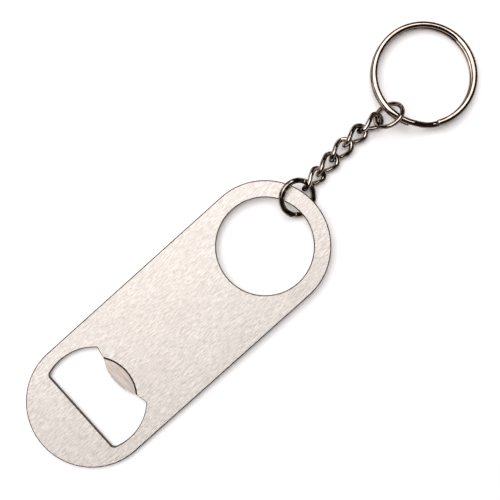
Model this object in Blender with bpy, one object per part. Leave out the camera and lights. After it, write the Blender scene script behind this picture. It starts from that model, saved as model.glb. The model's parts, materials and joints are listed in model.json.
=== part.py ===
"""Keychain bottle opener: a flat steel plate, a curb chain between two jump rings, and a split key ring.

Lengths are in metres and angles in degrees. The object lies on the plane Z = 0, with +X along the plate
towards the chain and +Z up. Every wire piece has its origin on its hinge, and the hinge axis is its own Z.
"""

import math

import bmesh
import bpy
import numpy as np
from mathutils import Matrix, Vector

# Opener plate
PLATE_LENGTH = 0.1025
PLATE_WIDTH = 0.037
PLATE_THICKNESS = 0.0015
PLATE_EDGE_BREAK = 0.0002
FINGER_HOLE_DIAMETER = 0.0274

# Cap cut-out, with offsets along the plate from the centre of its round sides
CAP_CENTRE_FROM_END = 0.01975
CAP_SIDE_RADIUS = 0.0146
CAP_FULCRUM_OFFSET = 0.0053
CAP_FULCRUM_FILLET = 0.0013
CAP_CORNER_OFFSET = 0.0103
CAP_CORNER_FILLET = 0.0007

# Lifting lip, and the recess that thins it from above
LIP_ROOT_OFFSET = 0.0096
LIP_WIDTH = 0.0139
LIP_REACH = 0.0021
RECESS_REACH = 0.0023
RECESS_DEPTH = 0.0006

# Jump ring in the finger hole: its place round the rim, and where its seam and the chain lie on it
PLATE_RING_WIRE = 0.0016
PLATE_RING_PLACE = 14.3
PLATE_RING_OFFSET = 0.00025
PLATE_RING_SEAM = 207.0
PLATE_RING_CHAIN = -7.0

# Curb chain, with the heading and the roll of each link as it lies, the first roll from its ring's slope
LINK_LENGTH = 0.0087
LINK_WIDTH = 0.0057
LINK_WIRE = 0.0014
LINK_TWIST = 85.0
LINK_HEADINGS = (5.0, 5.5, 4.0, -1.0, -8.5)
LINK_ROLLS = (30.0, 46.0, 36.0, 48.0, 63.0)
LAST_LINK_LIFT = 0.0003

# Jump ring on the key ring
KEY_JUMP_DIAMETER = 0.0094
KEY_JUMP_WIRE = 0.0013
KEY_JUMP_OFFSET = 0.0011
KEY_JUMP_SEAM = 144.0
KEY_JUMP_CHAIN = -38.0

# Split key ring, wound in two turns from an upper end, down a jog, to a lower end
KEY_RING_DIAMETER = 0.030
KEY_RING_WIRE_WIDTH = 0.0017
KEY_RING_WIRE_HEIGHT = 0.0012
KEY_RING_WIRE_CORNER = 0.00035
KEY_RING_TURN_GAP = 0.00045
KEY_RING_HEADING = 7.0
KEY_RING_END = 236.0
KEY_RING_JOG = 24.0
KEY_RING_LAP = 4.0

# Clearances, of which the first is the room for the chain inside the jump ring, beyond the rim's width
PLATE_RING_ROOM = 0.0035
SEAT_GAP = 0.00035
RIM_GAP = 0.0002
KEY_RING_PLAY = 0.0003
SEAM_GAP = 0.0003

# Metals, as linear colour and roughness
STEEL_COLOUR = (0.78, 0.74, 0.71)
STEEL_ROUGHNESS = 0.38
NICKEL_COLOUR = (0.70, 0.66, 0.62)
NICKEL_ROUGHNESS = 0.15

# Fineness of arcs, wires and the search for how pieces lie
ARC_STEP = 6.0
RING_STEPS = 44
LINK_END_STEPS = 9
LINK_SIDE_STEPS = 4
KEY_RING_STEP = 6.0
WIRE_SIDES = 10
SHARP_FROM = 40.0
TILT_LEAST = 5.0
TILT_MOST = 80.0
TILT_STEP = 0.1
TILT_POINT_STEP = 2.0
SETTLE_ROUNDS = 8
COIL_APART = 36.0

# Sizes that follow from those above
END_RADIUS = PLATE_WIDTH / 2
HOLE_RADIUS = FINGER_HOLE_DIAMETER / 2
HOLE_X = PLATE_LENGTH / 2 - END_RADIUS
RIM_RADIUS = (END_RADIUS + HOLE_RADIUS) / 2
RIM_WIDTH = END_RADIUS - HOLE_RADIUS
CAP_X = CAP_CENTRE_FROM_END - PLATE_LENGTH / 2
PLATE_RING_DIAMETER = RIM_WIDTH + PLATE_RING_ROOM + 2 * PLATE_RING_WIRE
PLATE_RING_RADIUS = (PLATE_RING_DIAMETER - PLATE_RING_WIRE) / 2
KEY_JUMP_RADIUS = (KEY_JUMP_DIAMETER - KEY_JUMP_WIRE) / 2
LINK_HALF_LENGTH = (LINK_LENGTH - LINK_WIRE) / 2
LINK_HALF_WIDTH = (LINK_WIDTH - LINK_WIRE) / 2
KEY_RING_RADIUS = (KEY_RING_DIAMETER - KEY_RING_WIRE_WIDTH) / 2
KEY_RING_HEIGHT = 2 * KEY_RING_WIRE_HEIGHT + KEY_RING_TURN_GAP

frames = {}


def clear_scene():
    for obj in list(bpy.data.objects):
        bpy.data.objects.remove(obj, do_unlink=True)


def metal(name, colour, roughness):
    material = bpy.data.materials.new(name)
    material.use_nodes = True
    shader = material.node_tree.nodes["Principled BSDF"]
    shader.inputs["Base Color"].default_value = (*colour, 1.0)
    shader.inputs["Metallic"].default_value = 1.0
    shader.inputs["Roughness"].default_value = roughness
    return material


def add_object(name, bm, material=None):
    bmesh.ops.recalc_face_normals(bm, faces=bm.faces)
    mesh = bpy.data.meshes.new(name)
    bm.to_mesh(mesh)
    bm.free()
    obj = bpy.data.objects.new(name, mesh)
    bpy.context.scene.collection.objects.link(obj)
    if material:
        mesh.materials.append(material)
        mesh.shade_smooth()
        mesh.set_sharp_from_angle(angle=math.radians(SHARP_FROM))
    return obj


def frame_of(origin, x_axis, y_axis):
    x = Vector(x_axis).normalized()
    z = x.cross(Vector(y_axis)).normalized()
    rotation = Matrix((x, z.cross(x), z)).transposed()
    return Matrix.Translation(Vector(origin)) @ rotation.to_4x4()


def axis_of(frame, column):
    return frame.to_3x3().col[column].normalized()


# Flat outlines

def arc(x, y, radius, start, end):
    steps = max(2, math.ceil(abs(end - start) / ARC_STEP))
    angles = np.radians(np.linspace(start, end, steps + 1))
    return [(x + radius * math.cos(a), y + radius * math.sin(a)) for a in angles]


def radius_over_chord(half_chord, rise):
    return (half_chord**2 + rise**2) / (2 * rise)


def plate_outline():
    return arc(HOLE_X, 0, END_RADIUS, -90, 90) + arc(-HOLE_X, 0, END_RADIUS, 90, 270)


def corner_fillet():
    """Centre of the round between the upper side and its shoulder, and where it leaves each of them."""
    root = Vector((LIP_ROOT_OFFSET, LIP_WIDTH / 2))
    corner = Vector((CAP_CORNER_OFFSET, math.sqrt(CAP_SIDE_RADIUS**2 - CAP_CORNER_OFFSET**2)))
    along = (corner - root).normalized()
    inward = Vector((-along.y, along.x))
    start = root + CAP_CORNER_FILLET * inward
    reach = CAP_SIDE_RADIUS - CAP_CORNER_FILLET
    run = -start.dot(along) + math.sqrt(start.dot(along) ** 2 - start.length_squared + reach**2)
    centre = start + run * along
    shoulder_angle = math.degrees(math.atan2(-inward.y, -inward.x))
    side_angle = math.degrees(math.atan2(centre.y, centre.x))
    return centre, shoulder_angle, side_angle


def cap_outline():
    lip_radius = radius_over_chord(LIP_WIDTH / 2, LIP_REACH)
    lip_angle = math.degrees(math.asin(LIP_WIDTH / 2 / lip_radius))
    lip_centre = LIP_ROOT_OFFSET - LIP_REACH + lip_radius
    lip = arc(lip_centre, 0, lip_radius, 180 + lip_angle, 180 - lip_angle)
    corner, shoulder_angle, side_angle = corner_fillet()
    fulcrum_x = CAP_FULCRUM_FILLET - CAP_FULCRUM_OFFSET
    fulcrum_y = math.sqrt((CAP_SIDE_RADIUS - CAP_FULCRUM_FILLET) ** 2 - fulcrum_x**2)
    fulcrum_angle = math.degrees(math.atan2(fulcrum_y, fulcrum_x))
    upper = arc(corner.x, corner.y, CAP_CORNER_FILLET, shoulder_angle, side_angle)
    upper += arc(0, 0, CAP_SIDE_RADIUS, side_angle, fulcrum_angle)[1:]
    upper += arc(fulcrum_x, fulcrum_y, CAP_FULCRUM_FILLET, fulcrum_angle, 180)[1:]
    lower = [(x, -y) for x, y in reversed(upper)]
    return [(CAP_X + x, y) for x, y in lip + upper + lower]


def recess_outline():
    """A round behind the lip that meets it at its two roots, carried on past the lip into the cut-out."""
    radius = radius_over_chord(LIP_WIDTH / 2, RECESS_REACH)
    end_angle = math.degrees(math.asin(LIP_WIDTH / 2 / radius)) + ARC_STEP
    centre = LIP_ROOT_OFFSET + RECESS_REACH - radius
    bend = arc(CAP_X + centre, 0, radius, -end_angle, end_angle)
    clear_x = CAP_X + LIP_ROOT_OFFSET - 2 * LIP_REACH
    return bend + [(clear_x, bend[-1][1]), (clear_x, bend[0][1])]


# Opener plate

def prism(outline, bottom, top, edge_break=0.0):
    bm = bmesh.new()
    base = bm.faces.new([bm.verts.new((x, y, bottom)) for x, y in outline])
    raised = bmesh.ops.extrude_face_region(bm, geom=[base])["geom"]
    lid = [v for v in raised if isinstance(v, bmesh.types.BMVert)]
    bmesh.ops.translate(bm, verts=lid, vec=(0, 0, top - bottom))
    bmesh.ops.recalc_face_normals(bm, faces=bm.faces)
    if edge_break:
        flat = [e for e in bm.edges if abs(e.verts[0].co.z - e.verts[1].co.z) < edge_break]
        bmesh.ops.bevel(bm, geom=flat, offset=edge_break, segments=1, affect="EDGES")
    return bm


def hole_cutter():
    """A round cutter that flares at both faces, so that the finger hole has eased edges."""
    bm = bmesh.new()
    flare = HOLE_RADIUS + 2 * PLATE_EDGE_BREAK
    profile = (
        (flare, -PLATE_EDGE_BREAK),
        (HOLE_RADIUS, PLATE_EDGE_BREAK),
        (HOLE_RADIUS, PLATE_THICKNESS - PLATE_EDGE_BREAK),
        (flare, PLATE_THICKNESS + PLATE_EDGE_BREAK),
    )
    loops = [[bm.verts.new((x, y, z)) for x, y in arc(HOLE_X, 0, r, 0, 360)[:-1]] for r, z in profile]
    for low, high in zip(loops, loops[1:]):
        for i in range(len(low)):
            bm.faces.new((low[i - 1], low[i], high[i], high[i - 1]))
    bm.faces.new(loops[0])
    bm.faces.new(loops[-1])
    return bm


def cut(obj, name, bm):
    cutter = add_object(name, bm)
    cutter.parent = obj
    cutter.hide_render = True
    cutter.display_type = "WIRE"
    boolean = obj.modifiers.new(name, "BOOLEAN")
    boolean.operation = "DIFFERENCE"
    boolean.solver = "EXACT"
    boolean.object = cutter


def make_plate(frame):
    blank = prism(plate_outline(), 0, PLATE_THICKNESS, PLATE_EDGE_BREAK)
    steel = metal("opener_plate_steel", STEEL_COLOUR, STEEL_ROUGHNESS)
    plate = add_object("opener_plate", blank, steel)
    plate.matrix_world = frame
    frames[plate.name] = frame
    over = PLATE_THICKNESS
    cut(plate, "finger_hole_cutter", hole_cutter())
    cut(plate, "cap_cutter", prism(cap_outline(), -over, PLATE_THICKNESS + over))
    floor = PLATE_THICKNESS - RECESS_DEPTH
    cut(plate, "recess_cutter", prism(recess_outline(), floor, PLATE_THICKNESS + over))
    return plate


# Bent wire

def round_section(wire):
    angles = np.arange(WIRE_SIDES) * 2 * math.pi / WIRE_SIDES
    return [(wire / 2 * math.cos(a), wire / 2 * math.sin(a)) for a in angles]


def flat_section():
    """The split ring's flat wire with its corners taken off, as eight points."""
    x = KEY_RING_WIRE_WIDTH / 2
    y = KEY_RING_WIRE_HEIGHT / 2
    quarter = [(x, y - KEY_RING_WIRE_CORNER), (x - KEY_RING_WIRE_CORNER, y)]
    half = quarter + [(-px, py) for px, py in reversed(quarter)]
    return half + [(-px, -py) for px, py in half]


def sweep(line, outward, section, closed):
    """A tube of the given section along a line of points; outward is the section's first axis at each."""
    line = np.asarray(line)
    outward = np.asarray(outward)
    if closed:
        along = np.roll(line, -1, axis=0) - np.roll(line, 1, axis=0)
    else:
        along = np.gradient(line, axis=0)
    along /= np.linalg.norm(along, axis=1, keepdims=True)
    outward = outward - along * (outward * along).sum(axis=1, keepdims=True)
    outward /= np.linalg.norm(outward, axis=1, keepdims=True)
    upward = np.cross(along, outward)
    bm = bmesh.new()
    loops = [
        [bm.verts.new(p + x * o + y * u) for x, y in section] for p, o, u in zip(line, outward, upward)
    ]
    joins = list(zip(loops, loops[1:]))
    if closed:
        joins.append((loops[-1], loops[0]))
    for near, far in joins:
        for i in range(len(section)):
            bm.faces.new((near[i - 1], near[i], far[i], far[i - 1]))
    if not closed:
        bm.faces.new(loops[0])
        bm.faces.new(loops[-1])
    return bm


def jump_ring(radius, wire, seam):
    """An open ring in its own XY plane, with a butt seam at the given angle."""
    half_gap = math.degrees(SEAM_GAP / 2 / radius)
    angles = np.radians(np.linspace(seam + half_gap, seam + 360 - half_gap, RING_STEPS + 1))
    outward = np.stack([np.cos(angles), np.sin(angles), np.zeros_like(angles)], axis=1)
    return sweep(radius * outward, outward, round_section(wire), closed=False)


def link_crosswise(x, roll):
    """The link's cross direction at x, which turns about its length from the left end to the right."""
    share = (x + LINK_HALF_LENGTH) / (2 * LINK_HALF_LENGTH)
    smooth = share * share * (3 - 2 * share)
    turned = math.radians(roll + LINK_TWIST * (0.5 - smooth))
    return Vector((0, math.cos(turned), math.sin(turned)))


def link_line(roll):
    """Centre line of a twisted oval link along its own X, and the way outward from it."""
    side = LINK_HALF_LENGTH - LINK_HALF_WIDTH
    oval = []
    for end in (1, -1):
        for a in np.radians(np.linspace(-90, 90, LINK_END_STEPS + 1)):
            normal = (end * math.cos(a), end * math.sin(a))
            oval.append((end * side + LINK_HALF_WIDTH * normal[0], LINK_HALF_WIDTH * normal[1], normal))
        for share in np.linspace(1, -1, LINK_SIDE_STEPS + 1)[1:-1]:
            oval.append((end * side * share, end * LINK_HALF_WIDTH, (0, end)))
    line = []
    outward = []
    for x, across, normal in oval:
        crosswise = link_crosswise(x, roll)
        line.append((x, across * crosswise.y, across * crosswise.z))
        outward.append((normal[0], normal[1] * crosswise.y, normal[1] * crosswise.z))
    return np.array(line), np.array(outward)


def chain_link(roll):
    line, outward = link_line(roll)
    return sweep(line, outward, round_section(LINK_WIRE), closed=True)


def key_ring_line():
    """Centre line of the two turns in the ring's own frame, from the upper end to the lower one."""
    top_run = 360 - KEY_RING_LAP - KEY_RING_JOG
    total = 2 * top_run + KEY_RING_JOG
    steps = math.ceil(total / KEY_RING_STEP)
    swept = np.linspace(0, total, steps + 1)
    share = np.clip((swept - top_run) / KEY_RING_JOG, 0, 1)
    smooth = share * share * (3 - 2 * share)
    rise = (KEY_RING_WIRE_HEIGHT + KEY_RING_TURN_GAP) * (0.5 - smooth)
    angles = np.radians(KEY_RING_END + swept)
    outward = np.stack([np.cos(angles), np.sin(angles), np.zeros_like(angles)], axis=1)
    line = KEY_RING_RADIUS * outward
    line[:, 2] = rise
    return line, outward


def split_ring():
    line, outward = key_ring_line()
    return sweep(line, outward, flat_section(), closed=False)


def coil_gap(obj):
    """Least gap from the split ring's wire to itself, between points a tenth of a turn or more apart."""
    points = np.array([v.co for v in obj.data.vertices])
    station = np.arange(len(points)) // len(flat_section())
    apart = math.ceil(COIL_APART / KEY_RING_STEP)
    least = math.inf
    for i, point in enumerate(points):
        others = points[station >= station[i] + apart]
        if len(others):
            least = min(least, np.linalg.norm(others - point, axis=1).min())
    return least


# How the pieces lie on one another

def tilt_to_clear(radius, wire, centre, inner, outer, thickness, gap):
    """Least tilt at which a ring, centred on a flat rim, clears it above and below by a gap."""
    angles = np.radians(np.arange(0, 360, TILT_POINT_STEP))
    for tilt in np.radians(np.arange(TILT_LEAST, TILT_MOST, TILT_STEP)):
        radial = centre + radius * np.cos(angles)
        across = radius * np.sin(angles) * math.cos(tilt)
        height = np.abs(radius * np.sin(angles) * math.sin(tilt))
        from_axis = np.hypot(radial, across)
        beside = np.maximum(np.maximum(inner - from_axis, from_axis - outer), 0)
        above = np.maximum(height - thickness / 2, 0)
        if np.hypot(beside, above).min() >= wire / 2 + gap:
            return tilt
    raise ValueError("the ring is too small for its rim")


def ring_frame(rim_frame, place, centre, tilt):
    """Frame of a ring round a rim: X away from the rim's axis, tilted so that its Y side is raised."""
    turn = Matrix.Rotation(math.radians(place), 4, "Z")
    shift = Matrix.Translation((centre, 0, 0))
    return rim_frame @ turn @ shift @ Matrix.Rotation(tilt, 4, "X")


def on_ring(frame, radius, degrees):
    """A point on a ring's centre line, and the wire's direction there."""
    a = math.radians(degrees)
    point = frame @ Vector((radius * math.cos(a), radius * math.sin(a), 0))
    along = frame.to_3x3() @ Vector((-math.sin(a), math.cos(a), 0))
    return point, along


def hang(bm, name, parent, piece_frame, pivot, axis):
    """Adds a wire piece with its origin at its hinge and the hinge axis along its Z."""
    sideways = axis.orthogonal()
    frame = frame_of(pivot, sideways, axis.cross(sideways))
    obj = add_object(name, bm, metal(f"{name}_nickel", NICKEL_COLOUR, NICKEL_ROUGHNESS))
    obj.data.transform(frame.inverted() @ piece_frame)
    obj.parent = parent
    obj.matrix_parent_inverse = frames[parent.name].inverted()
    obj.matrix_basis = frame
    frames[name] = frame
    return obj


def plate_lay():
    """The plate rests on its cap end and on the jump ring's wire, which passes under the rim."""
    centre = RIM_RADIUS + PLATE_RING_OFFSET
    tilt = tilt_to_clear(
        PLATE_RING_RADIUS, PLATE_RING_WIRE, centre, HOLE_RADIUS, END_RADIUS, PLATE_THICKNESS, RIM_GAP
    )
    drop = PLATE_RING_RADIUS * math.sin(tilt) + PLATE_RING_WIRE / 2 - PLATE_THICKNESS / 2
    place = math.radians(PLATE_RING_PLACE)
    low_x = HOLE_X + centre * math.cos(place) + PLATE_RING_RADIUS * math.cos(tilt) * math.sin(place)
    slope = math.atan2(drop, low_x + PLATE_LENGTH / 2)
    about_end = Matrix.Translation((PLATE_LENGTH / 2, 0, 0))
    plate_frame = about_end.inverted() @ Matrix.Rotation(-slope, 4, "Y") @ about_end
    hole_frame = plate_frame @ Matrix.Translation((HOLE_X, 0, PLATE_THICKNESS / 2))
    return plate_frame, hole_frame, ring_frame(hole_frame, PLATE_RING_PLACE, centre, tilt)


def link_frame(left, right, heading):
    crosswise = Vector((-math.sin(heading), math.cos(heading), 0))
    return frame_of((left + right) / 2, right - left, crosswise)


def link_heights(rolls, first_height, last_height):
    """Heights of each link's two ends: the left rests on the table, the right lies in the next loop."""
    play = LINK_HALF_WIDTH - LINK_WIRE - 2 * SEAT_GAP
    seat = LINK_WIRE + SEAT_GAP
    heights = []
    right = last_height
    for roll in reversed(rolls):
        line, _ = link_line(roll)
        left = LINK_HALF_WIDTH
        for _ in range(SETTLE_ROUNDS):
            slope = math.asin((right - left) / (2 * LINK_HALF_LENGTH))
            above = (left + right) / 2 + line[:, 0] * math.sin(slope) + line[:, 2] * math.cos(slope)
            left -= above.min() - LINK_WIRE / 2
        heights.insert(0, [left, right])
        right = left + (right - left) * seat / (2 * LINK_HALF_LENGTH) - play
    heights[0][0] = max(heights[0][0], first_height)
    return heights


def main():
    clear_scene()
    plate_frame, hole_frame, plate_ring_frame = plate_lay()
    plate = make_plate(plate_frame)
    hinges = {}

    ring_bm = jump_ring(PLATE_RING_RADIUS, PLATE_RING_WIRE, PLATE_RING_SEAM)
    pivot = hole_frame.translation
    axis = axis_of(hole_frame, 2)
    parent = hang(ring_bm, "plate_jump_ring", plate, plate_ring_frame, pivot, axis)
    hinges[parent.name] = (pivot, axis)

    # The small ring leans over the key ring's edge, so its tilt sets its height and the last link's
    key_tilt = tilt_to_clear(
        KEY_JUMP_RADIUS,
        KEY_JUMP_WIRE,
        KEY_RING_RADIUS + KEY_JUMP_OFFSET,
        KEY_RING_RADIUS - KEY_RING_WIRE_WIDTH / 2,
        KEY_RING_RADIUS + KEY_RING_WIRE_WIDTH / 2,
        KEY_RING_HEIGHT,
        KEY_RING_PLAY,
    )
    key_height = KEY_JUMP_RADIUS * math.sin(key_tilt) + KEY_JUMP_WIRE / 2
    far_reach = KEY_JUMP_OFFSET + KEY_RING_RADIUS + KEY_RING_DIAMETER / 2
    key_slope = math.asin((key_height - KEY_RING_HEIGHT / 2) / far_reach)
    heading = Matrix.Rotation(math.radians(KEY_RING_HEADING), 4, "Z")
    key_ring_turn = heading @ Matrix.Rotation(key_slope, 4, "Y")
    lean = key_ring_turn @ Matrix.Rotation(math.pi, 4, "Z") @ Matrix.Rotation(key_tilt, 4, "X")
    contact_from_centre, key_wire_along = on_ring(lean, KEY_JUMP_RADIUS, KEY_JUMP_CHAIN)

    # Links stand crosswise at the left and lie flat at the right, one held in the next
    contact, along = on_ring(plate_ring_frame, PLATE_RING_RADIUS, PLATE_RING_CHAIN)
    held_wire = PLATE_RING_WIRE
    ring_slope = math.degrees(math.atan2(along.z, math.hypot(along.x, along.y)))
    rolls = (ring_slope + LINK_ROLLS[0], *LINK_ROLLS[1:])
    first_drop = LINK_HALF_WIDTH - (LINK_WIRE + PLATE_RING_WIRE) / 2 - SEAT_GAP
    last_height = key_height + contact_from_centre.z + LAST_LINK_LIFT
    heights = link_heights(rolls, contact.z - first_drop, last_height)
    lays = zip(LINK_HEADINGS, rolls, heights)
    for number, (degrees, roll, (left_height, right_height)) in enumerate(lays, start=1):
        turn = math.radians(degrees)
        ahead = Vector((math.cos(turn), math.sin(turn), 0))
        left = contact - ahead * (held_wire / 2 + LINK_WIRE / 2 + SEAT_GAP)
        left.z = left_height
        right = left + ahead * 2 * LINK_HALF_LENGTH
        right.z = right_height
        frame = link_frame(left, right, turn)
        pivot = contact
        axis = along
        if number % 2 == 0:
            pivot = left
            axis = frame.to_3x3() @ link_crosswise(-LINK_HALF_LENGTH, roll)
        if number in (3, 4):
            axis = -axis
        name = f"chain_link_{number}"
        parent = hang(chain_link(roll), name, parent, frame, pivot, axis)
        hinges[name] = (pivot, axis)
        contact = right
        along = frame.to_3x3() @ link_crosswise(LINK_HALF_LENGTH, roll)
        held_wire = LINK_WIRE

    held = contact - ahead * (LINK_WIRE / 2 + KEY_JUMP_WIRE / 2 + SEAT_GAP)
    held.z = key_height + contact_from_centre.z
    key_jump_frame = Matrix.Translation(held - contact_from_centre) @ lean
    ring_bm = jump_ring(KEY_JUMP_RADIUS, KEY_JUMP_WIRE, KEY_JUMP_SEAM)
    parent = hang(ring_bm, "key_jump_ring", parent, key_jump_frame, held, key_wire_along)
    hinges[parent.name] = (held, key_wire_along)

    to_centre = Matrix.Translation((KEY_RING_RADIUS + KEY_JUMP_OFFSET, 0, 0))
    key_ring_frame = Matrix.Translation(key_jump_frame.translation) @ key_ring_turn @ to_centre
    pivot = key_ring_frame @ Vector((-KEY_RING_RADIUS, 0, 0))
    axis = axis_of(key_ring_frame, 1)
    key_ring = hang(split_ring(), "key_ring", parent, key_ring_frame, pivot, axis)
    hinges[key_ring.name] = (pivot, axis)

    # The origin is under the middle of the whole object
    corners = [frames[n] @ v.co for n in frames for v in bpy.data.objects[n].data.vertices]
    middle = [(min(c[i] for c in corners) + max(c[i] for c in corners)) / 2 for i in range(2)]
    shift = Vector((-middle[0], -middle[1], 0))
    plate.matrix_world = Matrix.Translation(shift) @ plate_frame

    lowest = min(c.z for c in corners)
    print(f"least gap of the split ring's wire to itself {1000 * coil_gap(key_ring):.3f} mm")
    print(f"lowest point {1000 * lowest:.3f} mm")
    for name, (pivot, axis) in hinges.items():
        place = [round(p, 6) for p in pivot + shift]
        print(name, place, [round(a, 6) for a in axis])


main()
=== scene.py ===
"""Looks of a keychain bottle opener: a brushed steel plate, a curb chain between jump rings, a split ring.

Lengths are in metres and angles in degrees. Each piece is modelled in a frame of its own and is then set
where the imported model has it.
"""

import json
import math

import bmesh
import bpy
import numpy as np
from mathutils import Matrix, Vector


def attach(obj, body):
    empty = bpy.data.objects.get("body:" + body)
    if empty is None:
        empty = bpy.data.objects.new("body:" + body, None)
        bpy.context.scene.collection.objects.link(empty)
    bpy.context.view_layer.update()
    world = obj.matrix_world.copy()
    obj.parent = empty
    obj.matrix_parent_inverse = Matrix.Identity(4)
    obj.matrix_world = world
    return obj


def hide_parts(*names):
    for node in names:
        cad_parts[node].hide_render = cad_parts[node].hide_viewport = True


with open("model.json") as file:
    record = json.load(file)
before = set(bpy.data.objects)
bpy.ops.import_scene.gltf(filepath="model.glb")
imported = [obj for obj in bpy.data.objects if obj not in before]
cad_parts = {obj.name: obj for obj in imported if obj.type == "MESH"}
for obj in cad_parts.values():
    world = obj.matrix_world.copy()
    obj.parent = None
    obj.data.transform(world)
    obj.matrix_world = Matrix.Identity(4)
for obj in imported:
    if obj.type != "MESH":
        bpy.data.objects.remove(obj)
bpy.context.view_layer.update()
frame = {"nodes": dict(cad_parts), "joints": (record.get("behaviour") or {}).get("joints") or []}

MM = 0.001

# Opener plate
EDGE_ROUND = 0.32 * MM
CUT_EDGE_ROUND = 0.24 * MM
EDGE_STEPS = 3

# Its finishes, told by the upright part of a face's normal: less than this on an edge, which carries painted
# shade, and more than this on the floor of the recess, which is partly greyed as painted shade
BRUSHED, MILLED_AND_SHADED, SHEARED_AND_SHADED = range(3)
EDGE_BELOW = 0.968
FLOOR_ABOVE = 0.99

# Cap cut-out, with offsets along the plate from the centre of its round sides
CAP_CENTRE_FROM_END = 19.75 * MM
CAP_SIDE_RADIUS = 14.6 * MM
CAP_FULCRUM_OFFSET = 5.3 * MM
CAP_FULCRUM_FILLET = 1.3 * MM
CAP_CORNER_OFFSET = 10.3 * MM
CAP_CORNER_FILLET = 0.7 * MM

# Lifting lip, the recess that thins it, and the facet ground on its tip
LIP_ROOT_OFFSET = 9.6 * MM
LIP_WIDTH = 13.9 * MM
LIP_REACH = 2.1 * MM
RECESS_REACH = 2.3 * MM
RECESS_DEPTH = 0.6 * MM
RECESS_WALL = 0.6 * MM
FACET_WIDTH = 0.75 * MM
FACET_SLOPE = 14.0

# Jump rings, with each seam's angle from the side that faces away from the finger hole or the key ring
PLATE_RING_WIRE = 1.57 * MM
PLATE_RING_SEAM = 207.0
SMALL_RING_WIRE = 1.28 * MM
SMALL_RING_SEAM = 144.0
SEAM_GAP = 0.3 * MM
RING_EASE = 0.015 * MM
WIRE_END_ROUND = 0.12 * MM

# Chain links: an oval that is stretched lengthways and twisted in two steps, each with its share of the
# twist and the share of the length that it leaves straight at either end
LINK_COUNT = 5
LINK_LENGTH = 8.68 * MM
LINK_WIDTH = 5.66 * MM
LINK_WIRE = 1.39 * MM
LINK_STRETCH = 1.12
LINK_TWIST = 85.0
LINK_TWIST_STEPS = ((0.4, 0.0), (0.6, 0.2))

# Split ring, with the angles of its upper end, of the jog between its turns and of the room at either side
# of the jog
SPLIT_RING_DIAMETER = 29.98 * MM
SPLIT_WIRE_WIDTH = 1.7 * MM
SPLIT_WIRE_HEIGHT = 1.2 * MM
SPLIT_TURN_GAP = 0.45 * MM
SPLIT_RING_END = 236.0
SPLIT_RING_JOG = 24.0
SPLIT_RING_ROOM = 4.0

# Fineness
ROUND_SIDES = 192
ARC_STEP = 2.0
RING_STEPS = 120
WIRE_SIDES = 24
WIRE_END_STEPS = 2
LINK_SIDE_CUTS = 18
SHARP_FROM = 35.0
CREASE_FROM = 60.0
FLAT_WITHIN = 0.1
MERGE_WITHIN = 0.001 * MM
FACE_WITHIN = 0.01 * MM
POINT_DECIMALS = 7

# Camera, above a point of the table that is set off from the plate's middle; its lens and sensor are in mm
CAMERA_FROM_PLATE = (28.95 * MM, 2.04 * MM)
CAMERA_HEIGHT = 226.5 * MM
CAMERA_LENS = 57.6
CAMERA_SENSOR = 36.0
CAMERA_NEAR = 10 * MM
PICTURE_TURN = -41.9

# Lamps, with places from the point below the camera and power in watts, and the room's strength
SOFT_BOX_PLACE = (0.02, 0.28, 0.7)
SOFT_BOX_SIZE = (1.1, 0.66)
SOFT_BOX_POWER = 9.1
WIDE_FILL_PLACE = (0, 0, 1.2)
WIDE_FILL_SIZE = (1.6, 1.6)
WIDE_FILL_POWER = 0.5
ROOM_STRENGTH = 0.5

# White table, with the lift of its look near the object and beyond the lamps' reach
TABLE_WIDTH = 30.0
NEAR_LIFT = 0.14
NEAR_REACH = 0.2
FAR_LIFT = 1.0
FAR_REACH = 1.1


# Steps of the hand

def begin(name):
    """Names the primitive just added, puts its place in its mesh and opens it for editing."""
    obj = bpy.context.object
    obj.name = name
    bpy.ops.object.transform_apply(location=True, rotation=True, scale=True)
    bpy.ops.object.mode_set(mode="EDIT")
    bpy.ops.mesh.select_mode(type="VERT")
    return obj


def end():
    """Merges double points, turns the faces outwards and leaves edit mode."""
    bpy.ops.mesh.select_all(action="SELECT")
    bpy.ops.mesh.remove_doubles(threshold=MERGE_WITHIN)
    bpy.ops.mesh.normals_make_consistent(inside=False)
    bpy.ops.object.mode_set(mode="OBJECT")


def deselect():
    bpy.ops.object.select_all(action="DESELECT")


def take(obj):
    deselect()
    obj.select_set(True)
    bpy.context.view_layer.objects.active = obj


def pick(kind, test):
    """Selects the vertices or edges that pass a test, and nothing else, in edit mode."""
    bpy.ops.mesh.select_mode(type=kind)
    bpy.ops.mesh.select_all(action="DESELECT")
    bm = bmesh.from_edit_mesh(bpy.context.object.data)
    for item in {"VERT": bm.verts, "EDGE": bm.edges}[kind]:
        if test(item):
            item.select_set(True)
    bmesh.update_edit_mesh(bpy.context.object.data)


def apply(obj, kind, **settings):
    """Adds a modifier with its settings and applies it."""
    take(obj)
    bpy.ops.object.modifier_add(type=kind)
    modifier = obj.modifiers[-1]
    for name, value in settings.items():
        setattr(modifier, name, value)
    bpy.ops.object.modifier_apply(modifier=modifier.name)


def start_line(name, x, y):
    """A single point to draw from."""
    deselect()
    bpy.ops.mesh.primitive_plane_add(size=MM)
    obj = begin(name)
    bpy.ops.mesh.select_all(action="SELECT")
    bpy.ops.mesh.merge(type="CENTER")
    bpy.ops.transform.translate(value=(x, y, 0))
    return obj


def line_to(x, y):
    bm = bmesh.from_edit_mesh(bpy.context.object.data)
    here = next(v.co.copy() for v in bm.verts if v.select)
    bpy.ops.mesh.extrude_vertices_move(TRANSFORM_OT_translate={"value": Vector((x, y, 0)) - here})


def arc_about(x, y, degrees):
    """Draws on from the selected point, counter-clockwise about a centre."""
    steps = math.ceil(abs(degrees) / ARC_STEP)
    bpy.ops.mesh.spin(steps=steps, angle=-math.radians(degrees), center=(x, y, 0), axis=(0, 0, 1))


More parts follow.
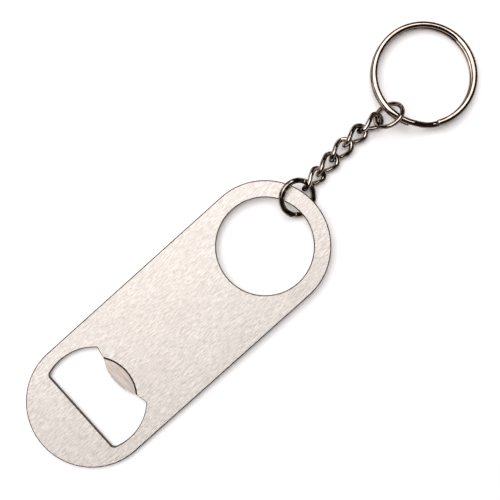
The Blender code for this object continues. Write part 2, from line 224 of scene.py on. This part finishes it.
def block_from_line(obj, bottom, top, flare=1.0, about=(0, 0, 0)):
    """Closes half an outline with its mirror image and draws it up into a block, flared about a point."""
    bpy.ops.object.mode_set(mode="OBJECT")
    apply(obj, "MIRROR", use_axis=(False, True, False), merge_threshold=MERGE_WITHIN)
    bpy.ops.object.mode_set(mode="EDIT")
    bpy.ops.mesh.select_all(action="SELECT")
    bpy.ops.mesh.edge_face_add()
    bpy.ops.transform.translate(value=(0, 0, bottom))
    bpy.ops.mesh.extrude_region_move(TRANSFORM_OT_translate={"value": (0, 0, top - bottom)})
    bpy.ops.transform.resize(value=(flare, flare, 1), center_override=about)
    end()


def is_crease(edge):
    return edge.is_manifold and edge.calc_face_angle() > math.radians(CREASE_FROM)


def cut_away(piece, cutter):
    apply(piece, "BOOLEAN", operation="DIFFERENCE", solver="EXACT", object=cutter)
    bpy.data.objects.remove(cutter, do_unlink=True)


def set_down(piece, place):
    """Puts the piece where it belongs, with its place in its mesh, and smooths its shading."""
    take(piece)
    piece.matrix_world = place
    bpy.ops.object.transform_apply(location=True, rotation=True, scale=True)
    bpy.ops.object.shade_smooth_by_angle(angle=math.radians(SHARP_FROM))
    apply(piece, "WEIGHTED_NORMAL", mode="FACE_AREA", weight=100, keep_sharp=True)


def radius_over_chord(half_chord, rise):
    return (half_chord**2 + rise**2) / (2 * rise)


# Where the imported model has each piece

def points_of(node):
    """The node's points, each of them once."""
    corners = np.array([v.co for v in frame["nodes"][node].data.vertices])
    return np.unique(corners.round(POINT_DECIMALS), axis=0)


def frame_of(origin, x_axis, z_axis):
    """A place whose Z is the given one and whose X leans as little as it can from the given one."""
    z = Vector(z_axis).normalized()
    y = z.cross(Vector(x_axis)).normalized()
    turn = Matrix((y.cross(z), y, z)).transposed()
    return Matrix.Translation(Vector(origin)) @ turn.to_4x4()


def spread_of(points):
    """The middle of a cloud of points, and the directions from its longest to its shortest spread."""
    _, _, directions = np.linalg.svd(points - points.mean(axis=0))
    turned = points @ directions.T
    middle = (turned.min(axis=0) + turned.max(axis=0)) / 2
    return Vector(middle @ directions), [Vector(d) for d in directions]


def ring_place(node, seam, away_from):
    """The ring's frame with its seam on X; seams are counted from the direction away from a point."""
    centre, directions = spread_of(points_of(node))
    up = directions[2] if directions[2].z > 0 else -directions[2]
    return frame_of(centre, centre - away_from, up) @ Matrix.Rotation(math.radians(seam), 4, "Z")


def ring_radius(node, wire):
    """The radius of the ring's middle line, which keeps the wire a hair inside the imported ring."""
    points = points_of(node)
    centre, _ = spread_of(points)
    reach = max((Vector(p) - centre).length for p in points)
    return reach - RING_EASE - wire / 2


def link_place(node):
    """The link's frame: its length on X and the middle of its twist on Y."""
    centre, directions = spread_of(points_of(node))
    return frame_of(centre, directions[0], directions[0].cross(directions[1]))


joints = {j["name"]: j for j in frame["joints"]}

hole_joint = joints["ring_round_rim"]
hole_centre = Vector(hole_joint["pos_m"])
plate_up = Vector(hole_joint["axis"]).normalized()
hole_place = frame_of(hole_centre, (1, 0, 0), plate_up)
in_hole = np.array([hole_place.inverted() @ Vector(p) for p in points_of("opener_plate")])
plate_low = in_hole.min(axis=0)
plate_high = in_hole.max(axis=0)
PLATE_LENGTH, PLATE_WIDTH, PLATE_THICKNESS = (float(s) for s in plate_high - plate_low)
END_RADIUS = PLATE_WIDTH / 2
HOLE_RADIUS = float(np.hypot(in_hole[:, 0], in_hole[:, 1]).min())
HOLE_X = PLATE_LENGTH / 2 - END_RADIUS
CAP_X = CAP_CENTRE_FROM_END - PLATE_LENGTH / 2
LIP_TIP_X = CAP_X + LIP_ROOT_OFFSET - LIP_REACH
RECESS_FLOOR = PLATE_THICKNESS / 2 - RECESS_DEPTH
plate_place = hole_place @ Matrix.Translation((-HOLE_X, 0, 0))

key_joint = joints["key_ring_on_small_ring"]
key_centre, _ = spread_of(points_of("key_ring"))
key_outward = key_centre - Vector(key_joint["pos_m"])
key_place = frame_of(key_centre, key_outward, key_outward.cross(Vector(key_joint["axis"])))


# Opener plate

def draw_hole_cutter():
    """A round bar through the finger hole."""
    deselect()
    bpy.ops.mesh.primitive_cylinder_add(
        vertices=ROUND_SIDES, radius=HOLE_RADIUS, depth=3 * PLATE_THICKNESS, location=(HOLE_X, 0, 0)
    )
    cutter = begin("hole_cutter")
    end()
    return cutter


def draw_cap_cutter():
    """The cut-out drawn with compass and rule, from the lip's tip round to the fulcrum."""
    lip_radius = radius_over_chord(LIP_WIDTH / 2, LIP_REACH)
    lip_angle = math.degrees(math.asin(LIP_WIDTH / 2 / lip_radius))
    root = Vector((LIP_ROOT_OFFSET, LIP_WIDTH / 2))
    corner = Vector((CAP_CORNER_OFFSET, math.sqrt(CAP_SIDE_RADIUS**2 - CAP_CORNER_OFFSET**2)))
    along = (corner - root).normalized()
    inward = Vector((-along.y, along.x))
    foot = root + CAP_CORNER_FILLET * inward
    reach = CAP_SIDE_RADIUS - CAP_CORNER_FILLET
    run = math.sqrt(foot.dot(along) ** 2 - foot.length_squared + reach**2) - foot.dot(along)
    turn_centre = foot + run * along
    leave = root + run * along
    shoulder_angle = math.degrees(math.atan2(-inward.y, -inward.x))
    side_angle = math.degrees(math.atan2(turn_centre.y, turn_centre.x))
    fulcrum_x = CAP_FULCRUM_FILLET - CAP_FULCRUM_OFFSET
    fulcrum_y = math.sqrt((CAP_SIDE_RADIUS - CAP_FULCRUM_FILLET) ** 2 - fulcrum_x**2)
    fulcrum_angle = math.degrees(math.atan2(fulcrum_y, fulcrum_x))

    cutter = start_line("cap_cutter", LIP_TIP_X, 0)
    arc_about(LIP_TIP_X + lip_radius, 0, -lip_angle)
    line_to(CAP_X + leave.x, leave.y)
    arc_about(CAP_X + turn_centre.x, turn_centre.y, side_angle - shoulder_angle)
    arc_about(CAP_X, 0, fulcrum_angle - side_angle)
    arc_about(CAP_X + fulcrum_x, fulcrum_y, 180 - fulcrum_angle)
    line_to(CAP_X - CAP_FULCRUM_OFFSET, 0)
    block_from_line(cutter, -PLATE_THICKNESS, PLATE_THICKNESS)
    return cutter


def draw_recess_cutter():
    """A round behind the lip with a sloping wall, open towards the cut-out."""
    radius = radius_over_chord(LIP_WIDTH / 2, RECESS_REACH)
    overrun = 3 * ARC_STEP
    sweep = math.degrees(math.asin(LIP_WIDTH / 2 / radius)) + overrun
    centre = CAP_X + LIP_ROOT_OFFSET + RECESS_REACH - radius
    clear_x = CAP_X + LIP_ROOT_OFFSET - 2 * LIP_REACH
    top = PLATE_THICKNESS
    foot = radius - RECESS_WALL / 2
    cutter = start_line("recess_cutter", centre + foot, 0)
    arc_about(centre, 0, sweep)
    line_to(clear_x, foot * math.sin(math.radians(sweep)))
    line_to(clear_x, 0)
    flare = 1 + RECESS_WALL / foot * (top - RECESS_FLOOR) / RECESS_DEPTH
    block_from_line(cutter, RECESS_FLOOR, top, flare, (centre, 0, 0))
    return cutter


def draw_facet_cutter():
    """A block whose sloping underside grinds the lip's tip."""
    hinge = (LIP_TIP_X + FACET_WIDTH, 0, RECESS_FLOOR)
    size = 2 * LIP_REACH
    middle = (hinge[0] - size / 2, 0, hinge[2] + size / 2)
    drop = size * math.tan(math.radians(FACET_SLOPE))
    deselect()
    bpy.ops.mesh.primitive_cube_add(size=size, location=middle)
    cutter = begin("facet_cutter")
    bpy.ops.mesh.select_all(action="SELECT")
    bpy.ops.transform.resize(value=(1, LIP_WIDTH / size, 1), center_override=hinge)
    pick("VERT", lambda v: v.co.z < middle[2] and v.co.x < middle[0])
    bpy.ops.transform.translate(value=(0, 0, -drop))
    end()
    return cutter


def is_flat_crease(edge):
    """An edge of the upper or the under face that is still sharp."""
    heights = [abs(v.co.z) for v in edge.verts]
    return is_crease(edge) and min(heights) > PLATE_THICKNESS / 2 - FACE_WITHIN


def make_plate():
    """A round-ended blank, cut for the finger hole and the cap, thinned at the lip, with its edges broken."""
    deselect()
    bpy.ops.mesh.primitive_cylinder_add(
        vertices=ROUND_SIDES, radius=END_RADIUS, depth=PLATE_THICKNESS, location=(HOLE_X, 0, 0)
    )
    plate = begin("brushed_opener_plate")
    bpy.ops.mesh.select_all(action="SELECT")
    bpy.ops.mesh.bisect(plane_co=(HOLE_X, 0, 0), plane_no=(1, 0, 0), clear_inner=True)
    pick("EDGE", lambda e: e.is_boundary)
    bpy.ops.mesh.extrude_edges_move(TRANSFORM_OT_translate={"value": (-HOLE_X, 0, 0)})
    bpy.ops.object.mode_set(mode="OBJECT")
    apply(plate, "MIRROR", use_axis=(True, False, False), merge_threshold=MERGE_WITHIN)
    bpy.ops.object.mode_set(mode="EDIT")
    end()
    bpy.ops.object.mode_set(mode="EDIT")
    bpy.ops.mesh.select_all(action="SELECT")
    bpy.ops.mesh.dissolve_limited(angle_limit=math.radians(FLAT_WITHIN))
    pick("EDGE", is_flat_crease)
    bpy.ops.mesh.bevel(offset=EDGE_ROUND, segments=EDGE_STEPS, affect="EDGES")
    bpy.ops.object.mode_set(mode="OBJECT")

    for cutter in (draw_hole_cutter(), draw_cap_cutter(), draw_recess_cutter(), draw_facet_cutter()):
        cut_away(plate, cutter)

    bpy.ops.object.mode_set(mode="EDIT")
    pick("EDGE", is_flat_crease)
    bpy.ops.mesh.bevel(offset=CUT_EDGE_ROUND, segments=EDGE_STEPS, affect="EDGES")
    end()
    return plate


# Wire pieces

def make_jump_ring(name, radius, wire):
    """Round wire spun round to a butt seam on X, with its two cut ends eased."""
    half_gap = SEAM_GAP / 2 / radius
    deselect()
    bpy.ops.mesh.primitive_circle_add(
        vertices=WIRE_SIDES, radius=wire / 2, fill_type="NGON", location=(radius, 0, 0),
        rotation=(math.pi / 2, 0, 0),
    )
    ring = begin(name)
    bpy.ops.mesh.select_all(action="SELECT")
    bpy.ops.transform.rotate(value=-half_gap, orient_axis="Z", center_override=(0, 0, 0))
    bpy.ops.mesh.spin(
        steps=RING_STEPS, angle=-(2 * math.pi - 2 * half_gap), center=(0, 0, 0), axis=(0, 0, 1)
    )
    pick("EDGE", is_crease)
    bpy.ops.mesh.bevel(offset=WIRE_END_ROUND, segments=WIRE_END_STEPS, affect="EDGES")
    end()
    return ring


def make_link(name):
    """An oval drawn in one line, stretched, twisted from end to end, and given the wire's thickness."""
    half_width = (LINK_WIDTH - LINK_WIRE) / 2
    side = (LINK_LENGTH - LINK_WIRE) / 2 / LINK_STRETCH - half_width
    link = start_line(name, side, -half_width)
    arc_about(side, 0, 180)
    line_to(-side, half_width)
    arc_about(-side, 0, 180)
    line_to(side, -half_width)
    bpy.ops.mesh.select_all(action="SELECT")
    bpy.ops.mesh.remove_doubles(threshold=MERGE_WITHIN)
    pick("EDGE", lambda e: e.calc_length() > side)
    bpy.ops.mesh.subdivide(number_cuts=LINK_SIDE_CUTS)
    bpy.ops.mesh.select_all(action="SELECT")
    bpy.ops.transform.resize(value=(LINK_STRETCH, 1, 1), center_override=(0, 0, 0))
    bpy.ops.object.mode_set(mode="OBJECT")
    for share, straight in LINK_TWIST_STEPS:
        apply(
            link, "SIMPLE_DEFORM", deform_method="TWIST", deform_axis="X",
            angle=-math.radians(LINK_TWIST * share), limits=(straight, 1 - straight),
        )
    take(link)
    bpy.ops.object.convert(target="CURVE")
    link = bpy.context.object
    link.data.dimensions = "3D"
    link.data.bevel_depth = LINK_WIRE / 2
    link.data.bevel_resolution = WIRE_SIDES // 4
    bpy.ops.object.convert(target="MESH")
    link = bpy.context.object
    link.name = name
    bpy.ops.object.mode_set(mode="EDIT")
    end()
    return link


def make_split_ring(name):
    """Oval wire spun for most of a turn, led down a jog and spun on below itself, with eased ends."""
    radius = (SPLIT_RING_DIAMETER - SPLIT_WIRE_WIDTH) / 2
    fall = SPLIT_WIRE_HEIGHT + SPLIT_TURN_GAP
    run = 360 - SPLIT_RING_ROOM - SPLIT_RING_JOG
    deselect()
    bpy.ops.mesh.primitive_circle_add(
        vertices=WIRE_SIDES, radius=0.5, fill_type="NGON", location=(radius, 0, fall / 2),
        rotation=(math.pi / 2, 0, 0),
    )
    bpy.context.object.scale = (SPLIT_WIRE_WIDTH, SPLIT_WIRE_HEIGHT, 1)
    ring = begin(name)
    bpy.ops.mesh.select_all(action="SELECT")
    about = {"center": (0, 0, 0), "axis": (0, 0, 1), "steps": round(run / ARC_STEP)}
    bpy.ops.mesh.spin(angle=-math.radians(run), **about)
    # The wire falls slowly at both ends of the jog and fastest in its middle
    steps = round(SPLIT_RING_JOG / ARC_STEP)
    shares = [i / steps for i in range(steps + 1)]
    falls = [fall * s * s * (3 - 2 * s) for s in shares]
    for before, after in zip(falls, falls[1:]):
        bpy.ops.mesh.extrude_region_move(TRANSFORM_OT_translate={"value": (0, 0, before - after)})
        bpy.ops.transform.rotate(
            value=-math.radians(ARC_STEP), orient_axis="Z", center_override=(0, 0, 0)
        )
    bpy.ops.mesh.spin(angle=-math.radians(run), **about)
    pick("EDGE", is_crease)
    bpy.ops.mesh.bevel(offset=WIRE_END_ROUND, segments=WIRE_END_STEPS, affect="EDGES")
    end()
    return ring


# Metals

def linear(hex_colour):
    """An sRGB hex colour as linear red, green, blue and full alpha."""
    parts = [int(hex_colour[i : i + 2], 16) / 255 for i in (1, 3, 5)]
    return (*[p / 12.92 if p <= 0.04045 else ((p + 0.055) / 1.055) ** 2.4 for p in parts], 1.0)


def add_node(tree, kind, values=None, **settings):
    """Adds a node with its settings; a value that is another node's socket is linked."""
    made = tree.nodes.new(kind)
    for name, value in settings.items():
        setattr(made, name, value)
    for name, value in (values or {}).items():
        if isinstance(value, bpy.types.NodeSocket):
            tree.links.new(value, made.inputs[name])
        else:
            made.inputs[name].default_value = value
    return made


def scale_for(*sizes):
    """The mapping scale that draws a pattern's marks at these sizes along X, Y and Z."""
    return tuple(1 / size for size in sizes)


def new_metal(name):
    material = bpy.data.materials.new(name)
    material.use_nodes = True
    tree = material.node_tree
    shader = tree.nodes["Principled BSDF"]
    shader.inputs["Metallic"].default_value = 1.0
    return material, tree, shader


def brushed_stainless_steel():
    """Sheet steel brushed along its length: fine pale and dark streaks, faint blotches, a few scratches."""
    material, tree, shader = new_metal("brushed_stainless_steel")
    place = add_node(tree, "ShaderNodeTexCoord").outputs["Object"]
    # Real brush lines are about 0.05 mm wide, and 0.24 mm is the finest that shows at this size
    streak_scale = scale_for(1.6 * MM, 0.24 * MM, 0.24 * MM)
    streak_place = add_node(tree, "ShaderNodeMapping", {"Vector": place, "Scale": streak_scale})
    streaks = add_node(
        tree, "ShaderNodeTexNoise",
        {"Vector": streak_place.outputs[0], "Scale": 1.0, "Detail": 4.0, "Roughness": 0.75},
    )
    blotch_scale = scale_for(11 * MM, 5 * MM, 5 * MM)
    blotch_place = add_node(tree, "ShaderNodeMapping", {"Vector": place, "Scale": blotch_scale})
    blotches = add_node(
        tree, "ShaderNodeTexNoise", {"Vector": blotch_place.outputs[0], "Scale": 1.0, "Detail": 5.0}
    )
    scratch_scale = scale_for(26 * MM, 0.6 * MM, 0.6 * MM)
    scratch_place = add_node(tree, "ShaderNodeMapping", {"Vector": place, "Scale": scratch_scale})
    scratches = add_node(
        tree, "ShaderNodeTexNoise", {"Vector": scratch_place.outputs[0], "Scale": 1.0, "Detail": 1.0}
    )
    streak_tone = add_node(
        tree, "ShaderNodeMapRange",
        {"Value": streaks.outputs[0], "From Min": 0.35, "From Max": 0.65, "To Min": 0.0, "To Max": 1.0},
    )
    steel = add_node(
        tree, "ShaderNodeMix",
        {"Factor": streak_tone.outputs[0], 6: linear("#BFB7B1"), 7: linear("#F7F1EC")},
        data_type="RGBA",
    )
    blotch_tone = add_node(
        tree, "ShaderNodeMapRange",
        {"Value": blotches.outputs[0], "From Min": 0.45, "From Max": 0.75, "To Min": 0.0, "To Max": 0.3},
    )
    clouded = add_node(
        tree, "ShaderNodeMix",
        {"Factor": blotch_tone.outputs[0], 6: steel.outputs[2], 7: linear("#D2C9C4")},
        data_type="RGBA",
    )
    scratch_tone = add_node(
        tree, "ShaderNodeMapRange",
        {"Value": scratches.outputs[0], "From Min": 0.66, "From Max": 0.74, "To Min": 0.0, "To Max": 0.25},
    )
    scratched = add_node(
        tree, "ShaderNodeMix",
        {"Factor": scratch_tone.outputs[0], 6: clouded.outputs[2], 7: linear("#FBF7F4")},
        data_type="RGBA",
    )
    dull = add_node(
        tree, "ShaderNodeMapRange",
        {"Value": streaks.outputs[0], "From Min": 0.3, "From Max": 0.7, "To Min": 0.6, "To Max": 0.7},
    )
    grooves = add_node(
        tree, "ShaderNodeBump", {"Height": streaks.outputs[0], "Strength": 0.25, "Distance": 0.01 * MM}
    )
    tree.links.new(scratched.outputs[2], shader.inputs["Base Color"])
    tree.links.new(dull.outputs[0], shader.inputs["Roughness"])
    tree.links.new(grooves.outputs[0], shader.inputs["Normal"])
    return material


def milled_steel_and_painted_shade():
    """The recess floor: close cutter marks across it, and greyer than the faces, partly as painted shade in
    the recess.
    """
    material, tree, shader = new_metal("milled_steel_and_painted_shade")
    place = add_node(tree, "ShaderNodeTexCoord").outputs["Object"]
    mark_scale = scale_for(0.45 * MM, 5 * MM, 5 * MM)
    mark_place = add_node(tree, "ShaderNodeMapping", {"Vector": place, "Scale": mark_scale})
    marks = add_node(
        tree, "ShaderNodeTexNoise", {"Vector": mark_place.outputs[0], "Scale": 1.0, "Detail": 3.0}
    )
    # The grey of the floor is partly painted shade of the recess
    tone = add_node(
        tree, "ShaderNodeMix",
        {"Factor": marks.outputs[0], 6: linear("#7C706A"), 7: linear("#DCD0C8")},
        data_type="RGBA",
    )
    dull = add_node(
        tree, "ShaderNodeMapRange", {"Value": marks.outputs[0], "To Min": 0.42, "To Max": 0.58}
    )
    grooves = add_node(
        tree, "ShaderNodeBump", {"Height": marks.outputs[0], "Strength": 0.3, "Distance": 0.02 * MM}
    )
    tree.links.new(tone.outputs[2], shader.inputs["Base Color"])
    tree.links.new(dull.outputs[0], shader.inputs["Roughness"])
    tree.links.new(grooves.outputs[0], shader.inputs["Normal"])
    return material


def sheared_edge_painted_shade():
    """The stamped edge of the sheet: half matt, drawn into fine lines from face to face, and painted near
    black as shade.
    """
    material, tree, shader = new_metal("sheared_edge_painted_shade")
    place = add_node(tree, "ShaderNodeTexCoord").outputs["Object"]
    # Real shear lines are finer, and 0.25 mm is the finest that shows at this size
    line_scale = scale_for(0.25 * MM, 0.25 * MM, 2 * MM)
    line_place = add_node(tree, "ShaderNodeMapping", {"Vector": place, "Scale": line_scale})
    lines = add_node(
        tree, "ShaderNodeTexNoise", {"Vector": line_place.outputs[0], "Scale": 1.0, "Detail": 2.0}
    )
    # The near-black tone of the edge is painted shade
    tone = add_node(
        tree, "ShaderNodeMix",
        {"Factor": lines.outputs[0], 6: linear("#2E2723"), 7: linear("#5A504A")},
        data_type="RGBA",
    )
    dull = add_node(
        tree, "ShaderNodeMapRange", {"Value": lines.outputs[0], "To Min": 0.34, "To Max": 0.52}
    )
    tree.links.new(tone.outputs[2], shader.inputs["Base Color"])
    tree.links.new(dull.outputs[0], shader.inputs["Roughness"])
    return material


def nickel_plating(name, dark, pale):
    """Plated steel wire: a warm mirror, dulled in clouds where fingers have touched it, with tiny pits.

    Its colour swings in patches, partly its own tone and partly painted dark reflections and painted glints.
    """
    material, tree, shader = new_metal(name)
    place = add_node(tree, "ShaderNodeTexCoord").outputs["Object"]
    cloud = add_node(
        tree, "ShaderNodeTexNoise", {"Vector": place, "Scale": 1 / (2.2 * MM), "Detail": 3.0}
    )
    pits = add_node(
        tree, "ShaderNodeTexNoise", {"Vector": place, "Scale": 1 / (0.25 * MM), "Detail": 2.0}
    )
    glint_and_dark_patches = add_node(
        tree, "ShaderNodeMapRange", {"Value": cloud.outputs[0], "From Min": 0.36, "From Max": 0.64}
    )
    # Patches of dark and pale tone, partly painted dark reflections and painted glints
    tone = add_node(
        tree, "ShaderNodeMix",
        {"Factor": glint_and_dark_patches.outputs[0], 6: linear(dark), 7: linear(pale)},
        data_type="RGBA",
    )
    dull = add_node(
        tree, "ShaderNodeMapRange",
        {"Value": cloud.outputs[0], "From Min": 0.3, "From Max": 0.7, "To Min": 0.02, "To Max": 0.06},
    )
    skin = add_node(
        tree, "ShaderNodeBump", {"Height": pits.outputs[0], "Strength": 0.03, "Distance": 0.01 * MM}
    )
    tree.links.new(tone.outputs[2], shader.inputs["Base Color"])
    tree.links.new(dull.outputs[0], shader.inputs["Roughness"])
    tree.links.new(skin.outputs[0], shader.inputs["Normal"])
    shader.inputs["Specular Tint"].default_value = linear("#2C231D")
    return material


# The pieces, each in its place

def hand_over(piece, body, node):
    """Hangs the piece on the body that it rides on, and hides the node that it stands for."""
    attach(piece, body)
    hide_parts(node)


def finish_plate(plate):
    """Brushed all over, but milled and partly greyed as painted shade on the recess floor, and sheared with
    painted shade on the edges.
    """
    for metal in (brushed_stainless_steel(), milled_steel_and_painted_shade(), sheared_edge_painted_shade()):
        plate.data.materials.append(metal)
    for face in plate.data.polygons:
        in_recess = face.center.z < RECESS_FLOOR + CUT_EDGE_ROUND
        # Faces that lean from upright take the edge finish with its painted shade
        if abs(face.normal.z) < EDGE_BELOW:
            face.material_index = SHEARED_AND_SHADED
        elif in_recess and face.normal.z > FLOOR_ABOVE:
            face.material_index = MILLED_AND_SHADED
        else:
            face.material_index = BRUSHED


plate = make_plate()
finish_plate(plate)
set_down(plate, plate_place)
hand_over(plate, "plate", "opener_plate")

# The chain and the ring on the plate swing further between dark and pale than the two rings at the key end:
# their dark patches are partly painted dark reflections and their pale ones partly painted glints
bright_nickel = nickel_plating("bright_nickel_plating", "#8F8278", "#AC9E94")
smoky_nickel_painted_glints = nickel_plating("smoky_plating_and_painted_glints", "#40352E", "#CEC1B7")
wires = []
for name, body, node, wire, seam, away_from in (
    ("plate_ring_wire", "plate_ring", "plate_jump_ring", PLATE_RING_WIRE, PLATE_RING_SEAM, hole_centre),
    ("small_ring_wire", "small_ring", "key_jump_ring", SMALL_RING_WIRE, SMALL_RING_SEAM, key_centre),
):
    ring = make_jump_ring(name, ring_radius(node, wire), wire)
    wires.append((ring, ring_place(node, seam, away_from), body, node))
first_link = make_link("curb_link_1_wire")
for number in range(1, LINK_COUNT + 1):
    link = first_link
    if number > 1:
        take(first_link)
        bpy.ops.object.duplicate()
        link = bpy.context.object
        link.name = f"curb_link_{number}_wire"
    wires.append((link, link_place(f"chain_link_{number}"), f"link_{number}", f"chain_link_{number}"))
split_ring = make_split_ring("split_ring_wire")
split_turn = Matrix.Rotation(math.radians(SPLIT_RING_END), 4, "Z")
wires.append((split_ring, key_place @ split_turn, "split_ring", "key_ring"))
for piece, place, body, node in wires:
    piece.data.materials.append(bright_nickel if node.startswith("key") else smoky_nickel_painted_glints)
    set_down(piece, place)
    hand_over(piece, body, node)


# Stage: a white table, a large soft lamp to the picture's upper left and a wide fill, in a dim warm room

plate_middle = plate_place.translation
camera_foot = Vector((plate_middle.x + CAMERA_FROM_PLATE[0], plate_middle.y + CAMERA_FROM_PLATE[1], 0))


def white_card():
    """Matt white card that takes the shadows, and looks a little paler than its light makes it."""
    material = bpy.data.materials.new("white_card")
    material.use_nodes = True
    tree = material.node_tree
    tree.nodes.clear()
    card = add_node(tree, "ShaderNodeBsdfDiffuse", {"Color": linear("#F8F5F5")})
    # The lift is seen straight, in metal and through glass, but sheds no light
    path = add_node(tree, "ShaderNodeLightPath")
    straight_or_mirrored = add_node(
        tree, "ShaderNodeMath",
        {0: path.outputs["Is Camera Ray"], 1: path.outputs["Is Glossy Ray"]},
        operation="MAXIMUM",
    )
    seen = add_node(
        tree, "ShaderNodeMath",
        {0: straight_or_mirrored.outputs[0], 1: path.outputs["Is Transmission Ray"]},
        operation="MAXIMUM",
    )
    # Beyond the lamps' reach the lift grows, so that the card stays white as far as the eye goes
    place = add_node(tree, "ShaderNodeTexCoord").outputs["Object"]
    reach = add_node(tree, "ShaderNodeVectorMath", {0: place}, operation="LENGTH")
    pale = add_node(
        tree, "ShaderNodeMapRange",
        {
            "Value": reach.outputs["Value"], "From Min": NEAR_REACH, "From Max": FAR_REACH,
            "To Min": NEAR_LIFT, "To Max": FAR_LIFT,
        },
    )
    lift = add_node(tree, "ShaderNodeMath", {0: seen.outputs[0], 1: pale.outputs[0]}, operation="MULTIPLY")
    glow = add_node(tree, "ShaderNodeEmission", {"Color": linear("#FFFFFF"), "Strength": lift.outputs[0]})
    both = add_node(tree, "ShaderNodeAddShader", {0: card.outputs[0], 1: glow.outputs[0]})
    add_node(tree, "ShaderNodeOutputMaterial", {"Surface": both.outputs[0]})
    return material


def hang_lamp(name, from_foot, size, power, shows_in_metal):
    """A soft lamp that faces the point below the camera, with its length along the plate."""
    place = camera_foot + Vector(from_foot)
    deselect()
    bpy.ops.object.light_add(type="AREA", location=place)
    lamp = bpy.context.object
    lamp.name = name
    lamp.matrix_world = frame_of(place, (1, 0, 0), place - camera_foot)
    lamp.data.shape = "RECTANGLE"
    lamp.data.size, lamp.data.size_y = size
    lamp.data.energy = power
    lamp.visible_glossy = shows_in_metal


deselect()
bpy.ops.mesh.primitive_plane_add(size=TABLE_WIDTH)
table = bpy.context.object
table.name = "white_table"
table.data.materials.append(white_card())

hang_lamp("soft_box", SOFT_BOX_PLACE, SOFT_BOX_SIZE, SOFT_BOX_POWER, shows_in_metal=True)
hang_lamp("wide_fill", WIDE_FILL_PLACE, WIDE_FILL_SIZE, WIDE_FILL_POWER, shows_in_metal=False)

world = bpy.data.worlds.new("dim_room")
world.use_nodes = True
room = world.node_tree.nodes["Background"]
room.inputs["Color"].default_value = linear("#4A3F39")
room.inputs["Strength"].default_value = ROOM_STRENGTH
bpy.context.scene.world = world

deselect()
bpy.ops.object.camera_add(
    location=camera_foot + Vector((0, 0, CAMERA_HEIGHT)), rotation=(0, 0, math.radians(PICTURE_TURN))
)
camera = bpy.context.object
camera.data.lens = CAMERA_LENS
camera.data.sensor_width = CAMERA_SENSOR
camera.data.clip_start = CAMERA_NEAR
bpy.context.scene.camera = camera
bpy.context.scene.view_settings.view_transform = "Standard"
